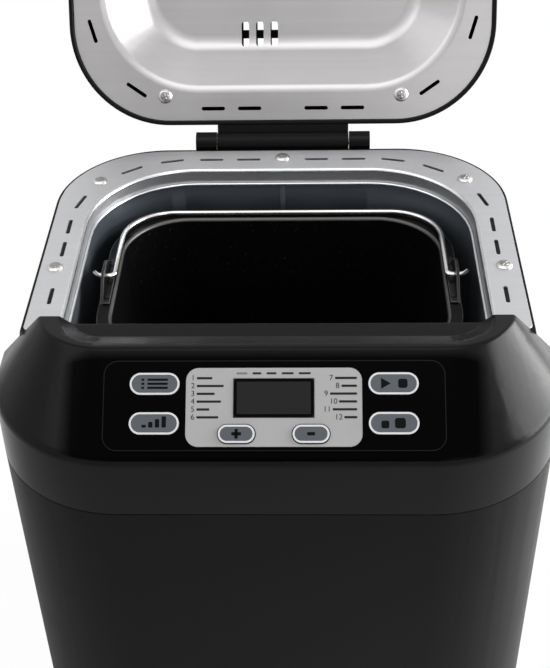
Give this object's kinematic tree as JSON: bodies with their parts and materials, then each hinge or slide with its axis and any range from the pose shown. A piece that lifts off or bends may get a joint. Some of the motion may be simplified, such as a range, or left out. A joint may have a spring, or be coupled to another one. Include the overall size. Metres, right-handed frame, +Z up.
{
  "type": "bread machine",
  "caption": "Countertop bread machine with a hinged open lid, sloped push-button console, oven mouth, lift-out kneading pan with bail handle, and a belt-driven paddle.",
  "frame": {"origin": "on the standing plane, under the middle of the box of the machine with its lid open", "axes": "+Z up, +X to the right of a person facing the console, -Y towards that person"},
  "size_m": [0.236, 0.3178, 0.382],
  "materials": {
    "case_black": "satin",
    "silver_sheet": "satin",
    "bright_screw": "bright",
    "oven_metal": "satin",
    "nonstick": "satin",
    "steel_wire": "bright",
    "button_grey": "satin",
    "overlay_black": "gloss",
    "label_grey": "satin",
    "display_dark": "gloss",
    "rubber": "matte",
    "zinc_sheet": "satin",
    "motor_steel": "satin",
    "board_green": "satin",
    "component_black": "satin",
    "nylon": "satin",
    "heater_sheath": "satin",
    "ceramic": "matte",
    "bronze": "satin",
    "cast_metal": "matte"
  },
  "bodies": {
    "machine": {"lower_housing": "case_black", "upper_housing": "case_black", "deck_plate": "silver_sheet", "deck_screws": "bright_screw", "base_plate": "case_black", "base_screws": "bright_screw", "rubber_feet": "rubber", "chassis_posts": "zinc_sheet", "chassis_plate": "zinc_sheet", "oven_chamber": "oven_metal", "heating_element": "heater_sheath", "heater_collars": "ceramic", "heater_saddles": "zinc_sheet", "temperature_sensor": "bright_screw", "thermal_fuse": "bright_screw", "pan_socket": "cast_metal", "bearing_housing": "cast_metal", "drive_bushes": "bronze", "motor": "motor_steel", "drive_belt": "rubber", "motor_capacitor": "component_black", "power_board": "board_green", "power_board_parts": "component_black", "control_board": "board_green", "board_screws": "bright_screw", "key_switches": "component_black", "display_module": "component_black", "control_overlay": "overlay_black", "label_panel": "label_grey", "display_lens": "display_dark", "hinge_pins": "bright_screw", "cord_gland": "case_black"},
    "lid": {"lid_shell": "case_black", "lid_liner": "silver_sheet", "lid_screws": "bright_screw"},
    "pan": {"bread_pan": "nonstick", "pan_tabs": "steel_wire", "tab_rivets": "bright_screw", "pan_foot": "cast_metal", "pan_bush": "cast_metal"},
    "bail": {"bail_handle": "steel_wire"},
    "paddle": {"kneading_paddle": "nonstick", "pan_shaft": "bright_screw", "wing_coupling": "cast_metal"},
    "drive": {"drive_shaft": "bright_screw", "large_pulley": "nylon", "drive_dog": "cast_metal"},
    "rotor": {"motor_shaft": "bright_screw", "small_pulley": "nylon"},
    "menu_key": {"menu_button": "button_grey"},
    "crust_key": {"crust_button": "button_grey"},
    "start_stop_key": {"start_stop_button": "button_grey"},
    "weight_key": {"weight_button": "button_grey"},
    "plus_key": {"plus_button": "button_grey"},
    "minus_key": {"minus_button": "button_grey"}
  },
  "joints": [
    {"name": "lid_hinge", "type": "hinge", "parent": "machine", "child": "lid", "pos_m": [0, 0.0634, 0.24], "axis": [-1, 0, 0], "range_deg": [-115, 0]},
    {"name": "pan_lift", "type": "slide", "parent": "machine", "child": "pan", "axis": [0, 0, 1], "range_m": [0, 0.2]},
    {"name": "bail_swing", "type": "hinge", "parent": "pan", "child": "bail", "pos_m": [0, -0.0302, 0.2225], "axis": [1, 0, 0], "range_deg": [0, 180]},
    {"name": "drive_spin", "type": "hinge", "parent": "machine", "child": "drive", "pos_m": [0, -0.0302, 0.05], "axis": [0, 0, 1], "continuous": true},
    {"name": "motor_spin", "type": "hinge", "parent": "machine", "child": "rotor", "pos_m": [0.046, -0.1252, 0.05], "axis": [0, 0, 1], "continuous": true},
    {"name": "paddle_spin", "type": "hinge", "parent": "pan", "child": "paddle", "pos_m": [0, -0.0302, 0.09], "axis": [0, 0, 1], "continuous": true},
    {"name": "menu_press", "type": "slide", "parent": "machine", "child": "menu_key", "axis": [0, -0.6488, 0.761], "range_m": [-0.0008, 0], "stiffness_N_per_m": 500},
    {"name": "crust_press", "type": "slide", "parent": "machine", "child": "crust_key", "axis": [0, -0.6488, 0.761], "range_m": [-0.0008, 0], "stiffness_N_per_m": 500},
    {"name": "start_stop_press", "type": "slide", "parent": "machine", "child": "start_stop_key", "axis": [0, -0.6488, 0.761], "range_m": [-0.0008, 0], "stiffness_N_per_m": 500},
    {"name": "weight_press", "type": "slide", "parent": "machine", "child": "weight_key", "axis": [0, -0.6488, 0.761], "range_m": [-0.0008, 0], "stiffness_N_per_m": 500},
    {"name": "plus_press", "type": "slide", "parent": "machine", "child": "plus_key", "axis": [0, -0.6488, 0.761], "range_m": [-0.0008, 0], "stiffness_N_per_m": 500},
    {"name": "minus_press", "type": "slide", "parent": "machine", "child": "minus_key", "axis": [0, -0.6488, 0.761], "range_m": [-0.0008, 0], "stiffness_N_per_m": 500}
  ],
  "couplings": [
    {"joint": "motor_spin", "follows": "drive_spin", "ratio": 5.466},
    {"joint": "paddle_spin", "follows": "drive_spin", "ratio": 1}
  ]
}
